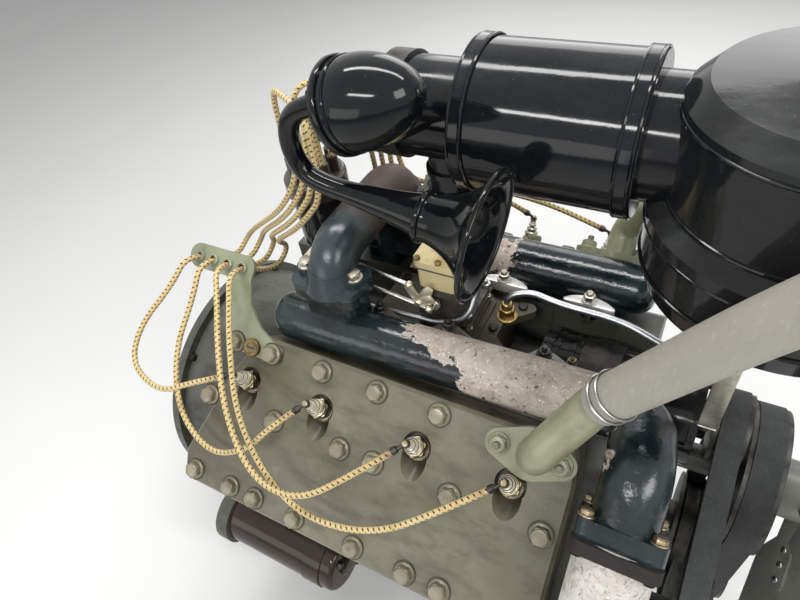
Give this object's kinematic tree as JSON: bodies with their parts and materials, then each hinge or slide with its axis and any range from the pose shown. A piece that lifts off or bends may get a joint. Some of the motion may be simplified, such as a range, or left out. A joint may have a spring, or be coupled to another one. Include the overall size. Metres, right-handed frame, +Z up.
{
  "type": "side-valve V8 motor-car engine",
  "caption": "Side-valve V engine of a classic luxury car, with manifolds, carburettor, horn, ignition leads, belts, cooling fan and cut hoses.",
  "frame": {"origin": "where the crankshaft's axis meets the bell housing's rear face", "axes": "+X forward towards the fan, +Y to the engine's left, +Z up"},
  "size_m": [0.8968, 0.6412, 0.9615],
  "materials": {
    "block_enamel": "dark grey-green engine enamel on a rough casting",
    "head_enamel": "khaki-grey enamel on a cast head",
    "fitting_enamel": "pale olive-green enamel",
    "manifold_enamel": "blue-black porcelain enamel burned off in patches",
    "downpipe_wrap": "off-white woven heat wrap",
    "black_enamel": "gloss black enamel",
    "raw_aluminium": "sand-cast aluminium",
    "carburettor_cream": "cream-yellow plated die casting",
    "bright_steel": "bright plated steel",
    "dark_steel": "oily dark steel",
    "belt_rubber": "dusty dark grey belt rubber",
    "hose_rubber": "warm grey coolant hose",
    "fan_enamel": "pale grey-green enamel",
    "plug_porcelain": "white glazed insulator and plated shell",
    "cap_plastic": "black-brown moulded cap",
    "lead_cotton": "cream-yellow braided cotton with dark tracer",
    "starter_enamel": "dark brown-black enamel"
  },
  "bodies": {
    "root": {"air_silencer": "black_enamel", "bell_flange": "block_enamel", "bell_housing": "block_enamel", "belt_front": "belt_rubber", "belt_rear": "belt_rubber", "carburettor": "carburettor_cream", "crossover_pipe": "manifold_enamel", "distributor": "black_enamel", "distributor_cap": "cap_plastic", "downpipe_flange": "dark_steel", "engine_block": "block_enamel", "engine_mount_left": "block_enamel", "engine_mount_right": "block_enamel", "exhaust_downpipe": "downpipe_wrap", "exhaust_manifold_left": "manifold_enamel", "exhaust_manifold_right": "manifold_enamel", "fan_bracket": "block_enamel", "front_cover": "block_enamel", "fuel_line": "bright_steel", "generator": "black_enamel", "generator_saddle": "black_enamel", "head_left": "head_enamel", "head_right": "head_enamel", "horn_bracket": "dark_steel", "horn_motor": "black_enamel", "horn_trumpet": "black_enamel", "intake_manifold": "block_enamel", "lead_bracket_left": "fitting_enamel", "lead_bracket_right": "fitting_enamel", "manifold_clamps": "raw_aluminium", "oil_bath_cleaner": "black_enamel", "oil_pan": "black_enamel", "plug_lead_left_1": "lead_cotton", "plug_lead_left_2": "lead_cotton", "plug_lead_left_3": "lead_cotton", "plug_lead_left_4": "lead_cotton", "plug_lead_right_1": "lead_cotton", "plug_lead_right_2": "lead_cotton", "plug_lead_right_3": "lead_cotton", "plug_lead_right_4": "lead_cotton", "radiator_hose_left": "hose_rubber", "radiator_hose_right": "hose_rubber", "spark_plugs_left": "plug_porcelain", "spark_plugs_right": "plug_porcelain", "starter": "starter_enamel", "throttle_body": "dark_steel", "vacuum_line": "bright_steel", "water_outlet_left": "fitting_enamel", "water_outlet_right": "fitting_enamel", "water_pump": "block_enamel"},
    "crank": {"crank_pulley": "dark_steel", "flywheel": "dark_steel"},
    "fan": {"fan": "fan_enamel", "fan_pulley": "dark_steel"},
    "generator_rotor": {"generator_pulley": "dark_steel"},
    "pump_rotor": {"pump_pulley": "dark_steel"}
  },
  "joints": [
    {"name": "crank_turn", "type": "hinge", "parent": "root", "child": "crank", "pos_m": [0.4, 0, 0], "axis": [1, 0, 0], "continuous": true},
    {"name": "fan_turn", "type": "hinge", "parent": "root", "child": "fan", "pos_m": [0.85, 0, 0.176], "axis": [1, 0, 0], "continuous": true},
    {"name": "generator_turn", "type": "hinge", "parent": "root", "child": "generator_rotor", "pos_m": [0.77, 0, 0.254], "axis": [1, 0, 0], "continuous": true},
    {"name": "pump_turn", "type": "hinge", "parent": "root", "child": "pump_rotor", "pos_m": [0.77, -0.19997, 0.1649], "axis": [1, 0, 0], "continuous": true}
  ],
  "couplings": [
    {"joint": "fan_turn", "follows": "crank_turn", "ratio": 0.8523},
    {"joint": "generator_turn", "follows": "crank_turn", "ratio": 1.7045},
    {"joint": "pump_turn", "follows": "crank_turn", "ratio": 1.0714}
  ]
}
